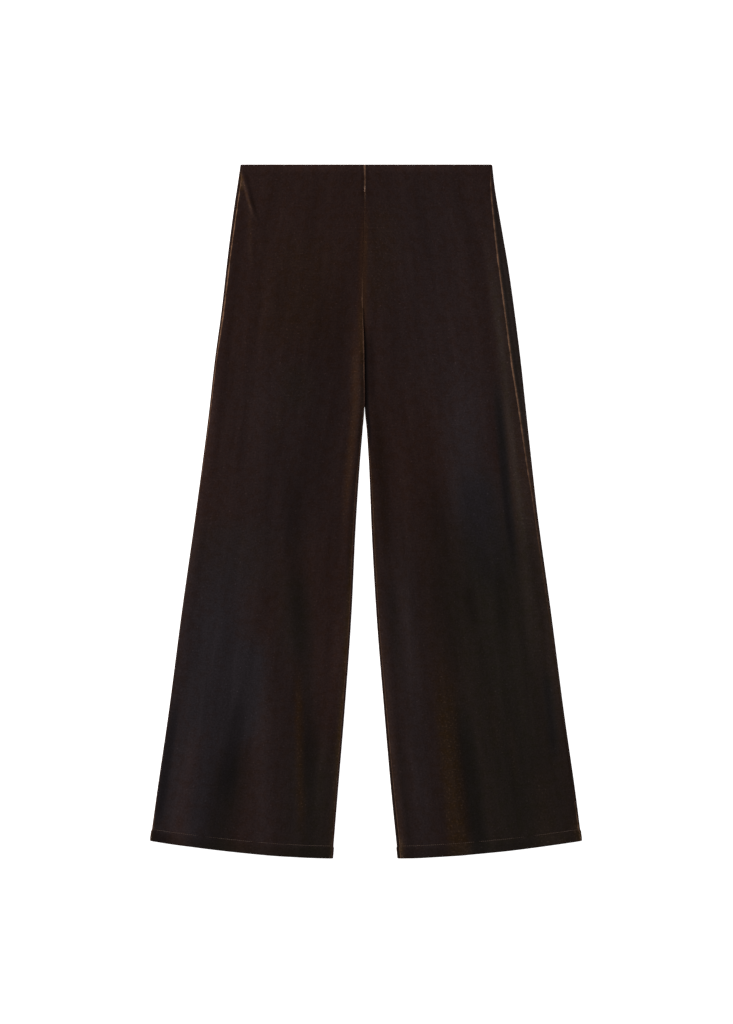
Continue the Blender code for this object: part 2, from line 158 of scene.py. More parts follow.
leftLeg = {
    "name": "left",
    "direction": 1,
    "parting": 3,
    "stations": np.array([
        (0, 189.3, 2.8, 0.3, 0.0, 0.72), (30, 192.6, 5.3, 0.3, 0.6, 0.42),
        (95, 203.4, 10.4, 0.3, 0.85, 0.12), (160, 214.4, 13.8, 0.3, 0.88, 0.05),
        (240, 225.4, 14.2, 0.3, 0.88, 0.2), (295, 232.2, 13.8, 0.3, 1.0, 0.0),
        (365, 239.7, 10.6, 0.5, 0.9, 0.2), (460, 250.0, 7.2, 2.2, 0.7, 0.35),
        (520, 256.8, 4.4, 3.1, 0.5, 0.33), (670, 277.4, 4.0, 3.0, 0.35, 0.34),
        (820, 296.8, 4.0, 3.4, 0.1, 0.4), (940, 313.9, 3.8, 3.9, 0.05, 0.4),
        (1010, 322.9, 2.2, 4.4, 0.6, 0.45),
    ]),
    "folds": [
        (70, 330, 0.32, 0.28, 34, 2.0), (200, 580, 0.55, 0.33, 44, 3.0),
        (290, 640, 0.21, 0.16, 18, -1.0), (270, 860, 0.085, 0.10, 20, 4.4),
        (300, 1400, 0.71, 0.99, 28, 4.6), (440, 960, 0.58, 0.59, 36, -1.0),
        (560, 760, 0.34, 0.22, 18, -0.8), (620, 1000, 0.20, 0.14, 30, 3.4),
        (680, 1400, 0.645, 0.66, 22, 5.4), (800, 1340, 0.571, 0.568, 18, -1.0),
        (760, 1400, 0.40, 0.36, 40, 5.0),
    ],
    "creases": [
        (60, 210, 0.60, 0.52, 9, 0.4), (90, 300, 0.16, 0.14, 7, -0.35),
        (190, 420, 0.43, 0.36, 9, 0.5), (300, 600, 0.205, 0.165, 6, -0.6),
        (250, 520, 0.80, 0.83, 8, -0.35), (380, 900, 0.74, 0.86, 8, 0.6),
        (460, 780, 0.49, 0.47, 10, 0.4), (540, 700, 0.36, 0.25, 6, -0.5),
        (600, 900, 0.07, 0.08, 7, 0.4), (700, 1060, 0.645, 0.66, 6, 0.6),
        (780, 1060, 0.29, 0.25, 9, 0.5), (820, 1060, 0.572, 0.568, 6, -0.6),
        (840, 1060, 0.44, 0.43, 7, -0.4), (900, 1080, 0.13, 0.11, 8, 0.4),
        (860, 1080, 0.80, 0.84, 7, -0.4),
    ],
    "nap": [
        (-14, 14, 0.6, 0.6, 150, 0.4, 0, 0, 0),
        (40, 700, 0.085, 0.085, 26, 0.35, 0, 0.3, 0.1),
        (60, 640, 0.125, 0.105, 10, 0.3, 0, 0.3, 0),
        (300, 640, 0.165, 0.18, 11, -0.7, 0.5, 1, 0),
        (100, 520, 0.36, 0.4, 55, 0.18, 0, 0, 0),
        (260, 620, 0.36, 0.38, 70, 0.07, 0.35, 0, 0),
        (340, 580, 0.42, 0.4, 50, 0.08, 0.2, 0.1, 0),
        (440, 660, 0.34, 0.32, 50, -0.17, 0.4, 0.8, 0),
        (40, 240, 0.85, 0.9, 40, 0, 0, 0, 0.3),
        (235, 370, 0.97, 0.955, 12, -0.5, 0, 0, 0),
        # painted shadow along this leg's inner edge, where the right leg's edge lies over it
        (222, 440, 0.992, 0.985, 5, -1.5, 0.4, 0, 0),
        (330, 640, 0.935, 0.91, 14, -0.45, 0, 0, 0.2),
        (520, 1120, 0.8, 0.85, 22, 0.22, 0.1, 0.1, 0),
        (440, 800, 0.58, 0.58, 40, -0.25, 0, 0.1, 0),
        (450, 1200, 0.3, 0.3, 160, -0.23, 0, 0.9, 0),
        (600, 720, 0.28, 0.28, 16, -0.3, 0, 0.2, 0),
        (630, 700, 0.46, 0.44, 14, -0.25, 0, 0, 0),
        (760, 920, 0.07, 0.085, 12, -0.45, 0.4, 0.5, 0),
        (580, 800, 0.12, 0.12, 18, 0.3, 0, 0, 0),
        (700, 1160, 0.612, 0.636, 17, -0.02, 0, -0.2, 0.75),
        (700, 1160, 0.674, 0.698, 17, -0.02, 0, -0.2, 0.75),
        (780, 1130, 0.57, 0.54, 22, -0.5, 0.1, 0.6, 0),
        (900, 1060, 0.18, 0.2, 26, 0.1, 0, -0.2, 0.45),
        (780, 900, 0.39, 0.39, 16, 0.08, 0, -0.2, 0.4),
        (830, 950, 0.31, 0.31, 12, 0.08, 0, -0.2, 0.4),
        (600, 800, 0.9, 0.9, 14, -0.25, 0, 0.3, 0),
        (820, 1100, 0.93, 0.93, 12, -0.12, 0, 0.2, 0),
        (440, 1250, 0.985, 0.985, 16, 0.38, 0, 0, 0.1),
        (400, 700, 0.985, 0.985, 6, 0, 0, -0.2, 0.45),
        (1020, 1060, 0.5, 0.5, 400, -0.2, 0, 0.2, 0),
        (40, 290, 0.99, 0.99, 8, 0.25, -0.3, -0.3, 0.22),
        (-60, 70, 0.98, 0.98, 3.5, -0.25, 0, 0, 0),
        (-60, 420, 0.45, 0.55, 150, 0, 0.25, 0, 0),
        (290, 960, 0, 0, 10, 0.35, 0, 0, 0.3),
        (20, 420, -0.01, -0.01, 4, 0.5, 0, 0.3, 0.3),
        (300, 760, 0.02, 0.02, 26, 0.25, 0, 0, 0),
        (450, 1200, 0.86, 0.86, 60, 0, 0.25, 0.15, 0),
        (1000, 1060, 0.985, 0.985, 12, 0.35, 0, 0, 0.9),
        (1000, 1060, 0.01, 0.01, 14, 0.35, 0, -0.2, 0.9),
        (620, 1100, 0.972, 0.972, 13, 0.3, 0, 0, 0.1),
        (640, 900, 0.05, 0.05, 34, 0.2, 0, 0, 0.05),
        (1018, 1064, 0.58, 0.58, 50, 0.43, 0, 0, 0.2),
        (1018, 1064, 0.16, 0.16, 55, 0.32, 0, -0.1, 0.4),
    ],
}
rightLeg["other"], leftLeg["other"] = leftLeg, rightLeg


def ramp(value):
    value = np.clip(value, 0.0, 1.0)
    return value * value * (3.0 - 2.0 * value)


def readTable(table, column, drop):
    # a smooth curve through the table's rows, level at its turns so that it can't overshoot
    drops, values = table[:, 0], table[:, column]
    steps = np.diff(values) / np.diff(drops)
    slopes = np.concatenate((steps[:1], np.zeros(len(steps) - 1), steps[-1:]))
    agree = steps[:-1] * steps[1:] > 0
    slopes[1:-1][agree] = 2 / (1 / steps[:-1][agree] + 1 / steps[1:][agree])
    drop = np.clip(drop, drops[0], drops[-1])
    index = np.clip(np.searchsorted(drops, drop) - 1, 0, len(steps) - 1)
    span = drops[index + 1] - drops[index]
    share = (drop - drops[index]) / span
    eased = ramp(share)
    bulge = slopes[index] * share * (1 - share) ** 2 - slopes[index + 1] * share ** 2 * (1 - share)
    return values[index] * (1 - eased) + values[index + 1] * eased + bulge * span


def innerEdge(leg, drop):
    return leg["direction"] * readTable(centre, 1, drop) + readTable(centre, leg["parting"], drop)


def legWidth(leg, drop):
    return readTable(leg["stations"], 1, drop) - innerEdge(leg, drop)


def curl(drop):
    # 0 on the hips, where the panels lie flat up to the centre seams, and 1 on the legs
    return ramp((drop - cut["crotch"] + cut["crotchRamp"]) / (2 * cut["crotchRamp"]))


def innerBend(drop):
    # radius of the bend along the inner edge, and the room that its quarter takes up
    radius = cut["foldRadius"] / np.maximum(curl(drop), 1e-5)
    return radius, radius * np.sin(quarter / radius)


def faceLength(leg, drop):
    return 2 * quarter + legWidth(leg, drop) - cut["foldRadius"] - innerBend(drop)[1]


def clothLength(inset):
    radius = cut["foldRadius"]
    bent = radius * np.arccos(np.clip(1 - inset / radius, -1, 1))
    return np.where(inset < radius, bent, quarter + inset - radius)


def sideSeam(leg, drop):
    return clothLength(readTable(leg["stations"], 2, drop))


def inseam(leg, drop):
    # on the hips it runs into the centre seams
    return clothLength(readTable(leg["stations"], 3, drop)) * curl(drop) ** 4


def innerSeam(leg, drop):
    return faceLength(leg, drop) - inseam(leg, drop)


fadeShare = 0.3  # a fold, crease or stroke fades in and out over this share of its length


def felt(row, drop, share, width):
    # how strongly a fold, crease or stroke is felt: 1 along its middle line, 0 outside it
    top, bottom, shareTop, shareBottom, halfWidth = row[:5]
    down = (drop - top) / (bottom - top)
    middle = shareTop + (shareBottom - shareTop) * down
    reach = np.clip(np.abs(share - middle) * width / halfWidth, 0, 1)
    return ramp(down / fadeShare) * ramp((1 - down) / fadeShare) * (1 + np.cos(pi * reach)) / 2


relief = {
    "bodySink": 2.5,  # the single layer lies lower than the turned-in bands
    "bandRamp": 26.0,
    "bandLift": 0.45,  # share of a ridge's height that the stiffer bands keep
    "foldRamp": 20.0,
    "grooveDepth": 0.45,
    "grooveReach": 6.0,
    "crotchRise": 60.0,  # the centre front rises over this length above the crotch
}


def onBody(drop):
    body = ramp((drop - cut["casing"]) / relief["bandRamp"])
    return body * ramp((cut["length"] - cut["hem"] - drop) / relief["bandRamp"])


def parted(drop):
    return ramp((drop - cut["crotch"] + cut["crotchRamp"]) / relief["crotchRise"] + 1)


def groove(distance):
    return relief["grooveDepth"] * ramp(1 - np.abs(distance) / relief["grooveReach"])


def frontRelief(leg, drop, around):
    # height of the front over the level of the folds along the leg's edges
    width, length = legWidth(leg, drop), faceLength(leg, drop)
    share = (around - quarter + cut["foldRadius"]) / width
    body = onBody(drop)
    height = -relief["bodySink"] * body
    for fold in leg["folds"]:
        band = body if fold[5] < 0 else relief["bandLift"] + (1 - relief["bandLift"]) * body
        height = height + fold[5] * felt(fold, drop, share, width) * band
    inner = ramp((length - quarter - around) / relief["foldRamp"])
    height = height * ramp((around - quarter) / relief["foldRamp"])
    height = height * (1 - parted(drop) * (1 - inner))
    height = height - np.where(around > quarter, groove(around - sideSeam(leg, drop)), 0)
    return height - groove(around - length) * (1 - parted(drop))


def tube(leg, drop, around, depth):
    # distance in from the side fold, and height, on the leg's flattened tube
    radius = cut["foldRadius"]
    run = np.abs(around)
    bendStart = faceLength(leg, drop) - quarter
    bendRadius = innerBend(drop)[0]
    sideAngle = np.clip(run / radius, 0, pi / 2)
    innerAngle = np.maximum(run - bendStart, 0) / bendRadius
    out = np.sin(innerAngle) - np.cos(sideAngle)
    up = np.where(run < quarter, np.sin(sideAngle), np.cos(innerAngle))
    across = radius * (1 - np.cos(sideAngle)) + np.clip(run, quarter, bendStart) - quarter
    across = across + bendRadius * np.sin(innerAngle) - out * depth
    height = radius * np.sin(sideAngle) - bendRadius * (1 - np.cos(innerAngle)) - up * depth
    return across, height


thighs = {
    "top": 206.0,  # between these drops the right leg's inner edge lies on the left one's
    "bottom": 368.0,
    "over": {"right": 1.3, "left": 0.7},  # how far each inner edge reaches over or under
    "lift": {"right": 3.9, "left": 0.0},
    "squash": 0.42,
    "reach": 11.0,
    "crossRamps": (14.0, 16.0),  # the edges cross, and part again, over these lengths
    "liftRamps": (20.0, 44.0),  # and change their height over these
}


def crossThighs(leg, drop, across, height):
    near = ramp((across - legWidth(leg, drop)) / thighs["reach"] + 1)
    below, above = drop - thighs["top"], thighs["bottom"] - drop
    crossed = ramp(below / thighs["crossRamps"][0]) * ramp(above / thighs["crossRamps"][1])
    raised = near * ramp(below / thighs["liftRamps"][0]) * ramp(above / thighs["liftRamps"][1] + 1)
    across = across + thighs["over"][leg["name"]] * near * crossed
    return across, height * (1 - thighs["squash"] * raised) + thighs["lift"][leg["name"]] * raised


hemFlare = {"reach": 1.0, "rise": 19.0, "easing": 4.0}  # the hem stands out past the leg's edges


def place(leg, drop, across, height):
    # into the frame of the pants, on rows that sweep up towards the side seam
    across, height = crossThighs(leg, drop, across, height)
    width = legWidth(leg, drop)
    flared = ramp((drop - cut["length"] + hemFlare["rise"]) / hemFlare["easing"])
    across = across + hemFlare["reach"] * (2 * across / width - 1) * flared
    share = np.maximum(1 - across / width, 0)
    swept = drop - cut["hemSweep"] * (drop / cut["length"]) ** 2 * share ** cut["sweepPower"]
    side = readTable(leg["stations"], 1, swept)
    x = leg["direction"] * (side - across * (side - innerEdge(leg, swept)) / width)
    return np.stack((x, cut["length"] / 2 - swept, height), axis=-1)


surface = {
    "creaseRamp": 7.0,  # creases and waves fade out this close to a fold
    "bandShare": 0.35,  # of its creases and waves, what the front keeps on the turned-in bands
    "broadWave": 0.35,
    "broadSize": 55.0,
    "fineWave": 0.10,
    "fineSize": 16.0,
    "pucker": 0.22,  # small gathers along the seams
    "puckerSize": 8.0,
    "puckerSpan": 5.0,  # each is this many times as long across the seam as along it
    "puckerReach": 7.0,
    "roll": 0.5,  # the cloth turns down into a seam by this depth
    "rollReach": 1.4,
    "hemPuff": 0.25,
    "puffRamps": (5.0, 4.0),
}
under = {
    "creaseShare": 0.5,  # of the other leg's creases, what shows on the underside
    "bandShare": 0.3,
    "hollow": 0.5,  # the most that the underside lifts off the surface
    "layerGap": 0.35,
}
seeds = {"broad": 3.7, "fine": 5.3, "pucker": 2.0, "underBroad": 9.1, "underPucker": 4.0}
hemStitch = {
    "rise": 18.6,
    "pitch": 3.0,
    "length": 2.4,
    "radius": 0.3,
    "pull": 0.28,  # the line of stitches draws the cloth in by this depth
    "reach": 2.2,
    "proud": 0.06,
    "sink": 0.68,  # here and there a run of stitches sinks up to this far into the pile
    "wander": 0.35,
    "run": 14.0,
    "wanderRate": 1.7,  # the line wanders this many times as fast as it sinks
    "seeds": (4.1, 0.3),
    "clear": 2.0,  # length left free at the ends of a panel
    "start": 1.5,
    "lift": 0.02,
}


def smoothNoise(across, down, size, seed):
    # from -1 to 1, with features of about the given size
    spots = zip((across / size).ravel(), (down / size).ravel())
    return np.array([noise.noise(Vector((u, v, seed))) for u, v in spots]).reshape(down.shape)


def puckers(u, drop, seamDistance, seed):
    ripple = smoothNoise(u / surface["puckerSpan"], drop, surface["puckerSize"], seed)
    return surface["pucker"] * ripple * ramp(1 - seamDistance / surface["puckerReach"])


def stitchPull(drop):
    line = cut["length"] - hemStitch["rise"]
    return hemStitch["pull"] * ramp(1 - np.abs(drop - line) / hemStitch["reach"])


def offFolds(leg, drop, run, joined):
    # 0 along a leg's folds and 1 on its open faces, also over the inner edge where it is joined
    inner = ramp((faceLength(leg, drop) - quarter - run) / surface["creaseRamp"])
    return ramp((run - quarter) / surface["creaseRamp"]) * np.maximum(inner, joined)


def frontBump(leg, drop, around, seamDistance):
    # creases, waves, puckers and the pull of the hem's stitches on what faces up
    width = legWidth(leg, drop)
    share = (around - quarter + cut["foldRadius"]) / width
    bump = 0
    for crease in leg["creases"]:
        bump = bump + crease[5] * felt(crease, drop, share, width)
    u = around * leg["direction"]
    bump = bump + surface["broadWave"] * smoothNoise(u, drop, surface["broadSize"], seeds["broad"])
    bump = bump + surface["fineWave"] * smoothNoise(u, drop, surface["fineSize"], seeds["fine"])
    bump = bump * (surface["bandShare"] + (1 - surface["bandShare"]) * onBody(drop))
    bump = bump + puckers(u, drop, seamDistance, seeds["pucker"]) - stitchPull(drop)
    above, below = drop - cut["length"] + hemStitch["rise"], cut["length"] - drop
    start, end = surface["puffRamps"]
    bump = bump + surface["hemPuff"] * ramp(above / start) * ramp(below / end)
    return bump * offFolds(leg, drop, around, 1 - parted(drop))


def underBump(leg, drop, around, seamDistance):
    # the underside rests flat, so only shallow hollows lift off the surface
    run = -around
    width = legWidth(leg, drop)
    share = (run - quarter + cut["foldRadius"]) / width
    bump = 0
    for crease in leg["other"]["creases"]:
        bump = bump + under["creaseShare"] * crease[5] * felt(crease, drop, share, width)
    u = around * leg["direction"]
    bump = bump + surface["broadWave"] * smoothNoise(u, drop, surface["broadSize"], seeds["underBroad"])
    bump = bump + puckers(u, drop, seamDistance, seeds["underPucker"])
    room = cut["foldRadius"] * 2 + frontRelief(leg, drop, run) - 2 * cut["cloth"] - under["layerGap"]
    bump = np.clip(bump, 0, np.clip(room, 0, under["hollow"]))
    bump = bump * (under["bandShare"] + (1 - under["bandShare"]) * onBody(drop)) + stitchPull(drop)
    return bump * offFolds(leg, drop, run, 1 - curl(drop))


layout = {
    "casing": (6.0, 4.5),  # last of the hidden rows below the waist edge, and their step
    "body": (4.0, -26.0, 3.1),  # first row below the waist edge, last above the hem's edge, step
    "stitched": (-24.0, -12.0, 1.0),  # both above the hem's edge, as below
    "band": (-11.0, -3.0, 1.8),
    "hem": (5.0, 4),  # first of the hidden rows above the hem's edge, and their number
    "turnRows": 8,
    "frontStrip": 7.0,
    "frontColumns": (11, 98, 11),  # in the strip at each seam, and between them
    "backStrip": 1.5,
    "backColumns": (6, 8, 84, 18, 6),  # the same, with the folds set apart
    "turnTrim": 0.8,  # turned-in cloth ends this much short of the seams
    "bunching": 1.7,
}


def panelRows():
    # drop and depth of the pile on each row, from the casing's free edge to the hem's
    radius, length = cut["turnRadius"], cut["length"]
    turn = np.linspace(0, pi, layout["turnRows"] + 1)
    turned, down = radius * (1 - np.sin(turn)), radius * (1 - np.cos(turn))
    casing = np.arange(cut["casing"], layout["casing"][0], -layout["casing"][1])
    start, end, step = layout["body"]
    rows = [np.arange(start, length + end, step)]
    for start, end, step in (layout["stitched"], layout["band"]):
        rows.append(np.arange(length + start, length + end, step))
    shown = np.concatenate(rows)
    hem = np.linspace(length - layout["hem"][0], length - cut["hem"], layout["hem"][1])
    drops = (casing, turned, shown, length - turned, hem)
    depths = (casing * 0 + 2 * radius, down[::-1], shown * 0, down, hem * 0 + 2 * radius)
    return np.concatenate(drops), np.concatenate(depths)


def spread(stops, counts):
    # one column of places for each step between the stops, which change from row to row
    columns = [stops[0]]
    for start, end, count in zip(stops, stops[1:], counts):
        columns += [start + (end - start) * step / count for step in range(1, count + 1)]
    return np.stack(columns, axis=-1)


def frontColumns(leg, drop, trim):
    first = sideSeam(leg, drop) + cut["seamGap"] / 2 + trim
    last = innerSeam(leg, drop) - cut["seamGap"] / 2 - trim
    strip = layout["frontStrip"]
    columns = spread((first, first + strip, last - strip, last), layout["frontColumns"])
    for edge, sign in ((first[:, None], 1), (last[:, None], -1)):
        near = np.clip((columns - edge) * sign / strip, 0, 1)
        columns = np.where(near < 1, edge + sign * strip * near ** layout["bunching"], columns)
    return columns


def backColumns(leg, drop, trim):
    length = faceLength(leg, drop)
    first = -length - inseam(leg, drop) + cut["seamGap"] / 2 + trim
    last = sideSeam(leg, drop) - cut["seamGap"] / 2 - trim
    strip = layout["backStrip"]
    stops = (first, first + strip, quarter - length, -quarter, last - strip, last)
    return spread(stops, layout["backColumns"])


# the back's margin beside the left leg's side seam, a little darker and turned towards moss and lilac, with
# a painted shadow near the seam
margin = {
    "top": 25,
    "bottom": 520,
    "fades": (0.1, 0.3),  # shares of that length
    "start": 2.0,
    "light": -0.03,
    "lilac": 0.1,
    "moss": 0.5,
    # painted shadow of the front's rolled seam edge, darkest at shadeAt from the seam
    "shade": -0.5,  # darker still at this distance from the seam
    "shadeAt": 4.0,
    "shadeReach": 3.2,
}
wrap = {"front": 4.0, "under": 10.0}  # strokes fade in over these lengths round the side fold


def napAndShadeStrokes(leg, drop, around):
    # light, lilac, moss and amber of the brushed pile and of the painted fold shade, sheen, glints and
    # shadows, with the other leg's strokes on the underside
    width = legWidth(leg, drop)
    share = (np.abs(around) - quarter + cut["foldRadius"]) / width
    marks = np.zeros((4,) + drop.shape)
    front, below = ramp(around / wrap["front"] + 0.5), ramp(-around / wrap["under"])
    for side, rows in ((front, leg["nap"]), (below, leg["other"]["nap"])):
        for row in rows:
            marks += np.array(row[5:])[:, None, None] * felt(row, drop, share, width) * side
    return marks


def marginNapAndShade(drop, around, seamDistance):
    down = (drop - margin["top"]) / (margin["bottom"] - margin["top"])
    share = ramp(down / margin["fades"][0]) * ramp((1 - down) / margin["fades"][1])
    marks = np.zeros((4,) + drop.shape)
    marks[0] = margin["shade"] * ramp(1 - np.abs(seamDistance - margin["shadeAt"]) / margin["shadeReach"])
    marks += np.array((margin["light"], margin["lilac"], margin["moss"], 0))[:, None, None]
    return marks * share * ramp(around / margin["start"])


def onTube(leg, drop, around, depth, seamDistance):
    # places on the leg, in mm, with everything that lifts or sinks the cloth there
    across, height = tube(leg, drop, around, depth)
    level = np.zeros_like(height)
    for side, lift in ((1, frontBump), (-1, underBump)):
        columns = (around * side >= 0).any(axis=0)
        parts = leg, drop[:, columns], around[:, columns]
        raised = cut["foldRadius"] + side * height[:, columns] + lift(*parts, seamDistance[:, columns])
        if side > 0:
            raised = raised + frontRelief(*parts)
        level[:, columns] = np.where(parts[2] * side >= 0, raised, level[:, columns])
    return place(leg, drop, across, level)


def layPanel(name, leg, columnsOf):
    drops, depths = panelRows()
    turnedIn = np.clip(depths / cut["turnRadius"] - 1, 0, None)
    around = columnsOf(leg, drops, layout["turnTrim"] * turnedIn)
    drop = np.repeat(drops[:, None], around.shape[1], axis=1)
    depth = np.repeat(depths[:, None], around.shape[1], axis=1)
    seamDistance = np.minimum(around - around[:, :1], around[:, -1:] - around)
    roll = surface["roll"] * np.clip(1 - seamDistance / surface["rollReach"], 0, 1) ** 2
    roll = roll * ramp(1 - depth / cut["turnRadius"])

    points = onTube(leg, drop, around, depth + roll, seamDistance) * mm

    strokes = napAndShadeStrokes(leg, drop, around)
    if columnsOf is backColumns and leg is leftLeg:
        strokes += marginNapAndShade(drop, around, seamDistance)
    # strength of the painted copper highlight along the seams, weaker on the back
    glow = readTable(leg["stations"], 4, drop)
    glow = np.where(np.abs(around) > legWidth(leg, drop) / 2, readTable(leg["stations"], 5, drop), glow)
    glow = glow * (velvet["backGlow"] if columnsOf is backColumns else 1)
    marks = dict(zip(("light", "lilac", "moss", "amber"), strokes), seam=seamDistance, glow=glow)
    panel = gridPanel(name, points, marks, np.stack((around, -drop), axis=-1) * mm, leg["direction"] < 0)
    widths = around[:, -1] - around[:, 0]
    body = depths == 0
    area = np.sum((widths[body][1:] + widths[body][:-1]) / 2 * np.diff(drops[body]))
    area += widths[0] * cut["casing"] + widths[-1] * cut["hem"]
    flat = (float(widths.max()) * mm, (cut["length"] + cut["casing"] + cut["hem"]) * mm)
    return {"object": panel, "points": points, "around": around, "drop": drops, "depth": depths,
            "flat": flat, "area": float(area) * mm * mm}


def gridPanel(name, points, marks, clothMap, turnOver):
    # a grid whose corners are moved to their places on the cloth
    rows, columns = points.shape[0] - 1, points.shape[1] - 1
    grid = bmesh.new()
    bmesh.ops.create_grid(grid, x_segments=columns, y_segments=rows, size=0.5)
    if turnOver:
        bmesh.ops.reverse_faces(grid, faces=grid.faces)
    mesh = bpy.data.meshes.new(name)
    grid.to_mesh(mesh)
    grid.free()
    flat = np.empty(len(mesh.vertices) * 3)
    mesh.vertices.foreach_get("co", flat)
    flat = flat.reshape(-1, 3)
    column = np.rint((flat[:, 0] + 0.5) * columns).astype(int)
    row = np.rint((flat[:, 1] + 0.5) * rows).astype(int)
    mesh.vertices.foreach_set("co", points[row, column].ravel())
    for mark, values in marks.items():
        mesh.attributes.new(mark, "FLOAT", "POINT").data.foreach_set("value", values[row, column])
    corners = np.empty(len(mesh.loops), dtype=np.int32)
    mesh.loops.foreach_get("vertex_index", corners)
    mesh.uv_layers.new(name="cloth").data.foreach_set("uv", clothMap[row, column][corners].ravel())
    mesh.shade_smooth()
    panel = bpy.data.objects.new(name, mesh)
    scene.collection.objects.link(panel)
    wall = panel.modifiers.new("Wall", "SOLIDIFY")
    wall.thickness = cut["cloth"] * mm
    wall.offset = -1
    wall.material_offset = 1  # the wrong side shows its knitted ground
    return panel


def bodyRow(panel, drop):
    body = np.flatnonzero(panel["depth"] == 0)
    return body[np.abs(panel["drop"][body] - drop).argmin()]


allowance = {
    "halfWidth": 2.6,
    "bandHalfWidth": 0.9,
    "bandRamp": 8.0,
    "cloth": 0.3,
    "depth": 1.28,
    "rowStep": 6.0,
    "columns": 8,
    "clear": 0.4,  # each ends this far from the garment's edges
    "centreEnd": 214.0,
    "inseamStart": 222.0,
}


def layAllowance(name, leg, start, end, seamAt, side, material):
    # the overlocked edges inside a seam, as one narrow strip that bridges its gap from within
    drops = np.linspace(start, end, int((end - start) / allowance["rowStep"]) + 1)
    below, above = drops - cut["casing"], cut["length"] - cut["hem"] - drops
    free = ramp(below / allowance["bandRamp"] + 1) * ramp(above / allowance["bandRamp"] + 1)
    halfWidth = allowance["bandHalfWidth"] + (allowance["halfWidth"] - allowance["bandHalfWidth"]) * free
    offset = halfWidth[:, None] * np.linspace(-1, 1, allowance["columns"] + 1)
    drop = np.repeat(drops[:, None], offset.shape[1], axis=1)
    around = side * (seamAt(leg, drop) + offset)
    roll = surface["roll"] * np.clip(1 - np.abs(offset) / surface["rollReach"], 0, 1) ** 2
    points = onTube(leg, drop, around, allowance["depth"] + roll, np.abs(offset)) * mm
    clothMap = np.stack((around, -drop), axis=-1) * mm
    strip = gridPanel(name, points, {}, clothMap, leg["direction"] * side < 0)
    strip.modifiers["Wall"].thickness = allowance["cloth"] * mm
    strip.data.materials.append(material)
    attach(strip, "root")
    return strip


def onCloth(panel, drop, around):
    # a point on a panel's pile, with the direction along the row
    row = bodyRow(panel, drop)
    spots = (around - 0.5, around, around + 0.5)
    places = [np.interp(spots, panel["around"][row], panel["points"][row, :, axis]) for axis in range(3)]
    before, here, after = (Vector(place) for place in zip(*places))
    return here, (after - before).normalized()


def addThread(stitches, start, along, length, radius):
    # one stitch, a short run of thread that dips into the pile at its ends
    side = Vector((0, 0, 1)).cross(along).normalized()
    turn = Matrix((along, side, along.cross(side))).transposed().to_4x4()
    size = Matrix.Diagonal((length / 2, radius, radius, 1))
    matrix = Matrix.Translation(start) @ turn @ size @ Matrix.Rotation(pi / 2, 4, "Y")
    bmesh.ops.create_uvsphere(stitches, u_segments=8, v_segments=6, radius=1, matrix=matrix)


def finishThreads(name, stitches, material):
    bmesh.ops.recalc_face_normals(stitches, faces=stitches.faces)
    mesh = bpy.data.meshes.new(name)
    stitches.to_mesh(mesh)
    stitches.free()
    mesh.shade_smooth()
    mesh.materials.append(material)
    piece = bpy.data.objects.new(name, mesh)
    scene.collection.objects.link(piece)
    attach(piece, "root")
    return piece


def sewHem(name, panel, material):
    drop = cut["length"] - hemStitch["rise"]
    stitches = bmesh.new()
    row = panel["around"][bodyRow(panel, drop)]
    count = int((row[-1] - row[0] - hemStitch["clear"]) / hemStitch["pitch"])
    wanderSeed, sinkSeed = hemStitch["seeds"]
    for number in range(count):
        around = row[0] + hemStitch["start"] + (number + 0.5) * hemStitch["pitch"]
        here, direction = onCloth(panel, drop, around)
        spot = around / hemStitch["run"]
        wander = noise.noise(Vector((spot * hemStitch["wanderRate"], wanderSeed, 0.0)))
        here.y += hemStitch["wander"] * wander * mm
        if around > 0:
            sunk = hemStitch["sink"] * max(0.0, noise.noise(Vector((spot, sinkSeed, 0.0))))
            here.z += (hemStitch["proud"] - sunk) * mm
        else:
            here.z = max(here.z, (hemStitch["radius"] + hemStitch["lift"]) * mm)  # clear of what it lies on
        addThread(stitches, here, direction, hemStitch["length"] * mm, hemStitch["radius"] * mm)
    return finishThreads(name, stitches, material)


tack = {
    "top": 33.0,
    "bottom": 40.5,
    "width": 1.7,
    "threads": 9,
    "radius": 0.3,
    "column": -5,  # the column of each front panel that it holds
}


def sewTack(name, panels, material):
    # a bar tack over the centre front seam, where the casing's free edge is caught
    stitches = bmesh.new()
    step = (tack["bottom"] - tack["top"]) / (tack["threads"] - 1)
    for number in range(tack["threads"]):
        drop = tack["top"] + number * step
        sides = [panel["points"][bodyRow(panel, drop), tack["column"]] for panel in panels]
        middle = (Vector(sides[0]) + Vector(sides[1])) / 2
        middle.y = (cut["length"] / 2 - drop) * mm
        addThread(stitches, middle, Vector((1, 0, 0)), tack["width"] * mm, tack["radius"] * mm)
    return finishThreads(name, stitches, material)


def linear(hexColour):
    # an sRGB hex value as linear light, with full alpha
    parts = [int(hexColour[place:place + 2], 16) / 255 for place in (1, 3, 5)]
    return [part / 12.92 if part <= 0.04045 else ((part + 0.055) / 1.055) ** 2.4 for part in parts] + [1.0]


def addNode(tree, kind, inputs, **settings):
    # a node with its settings, and its inputs as values or as links from other nodes' sockets;
    # a colour Mix node takes its two colours at 6 and 7 and gives the mixed one at 2
    node = tree.nodes.new(kind)
    for name, value in settings.items():
        setattr(node, name, value)
    for name, value in inputs.items():
        if isinstance(value, bpy.types.NodeSocket):
            tree.links.new(value, node.inputs[name])
        else:
            node.inputs[name].default_value = value
    return node


def newMaterial(name):
    material = bpy.data.materials.new(name)
    material.use_nodes = True
    tree = material.node_tree
    tree.nodes.clear()
    return material, tree


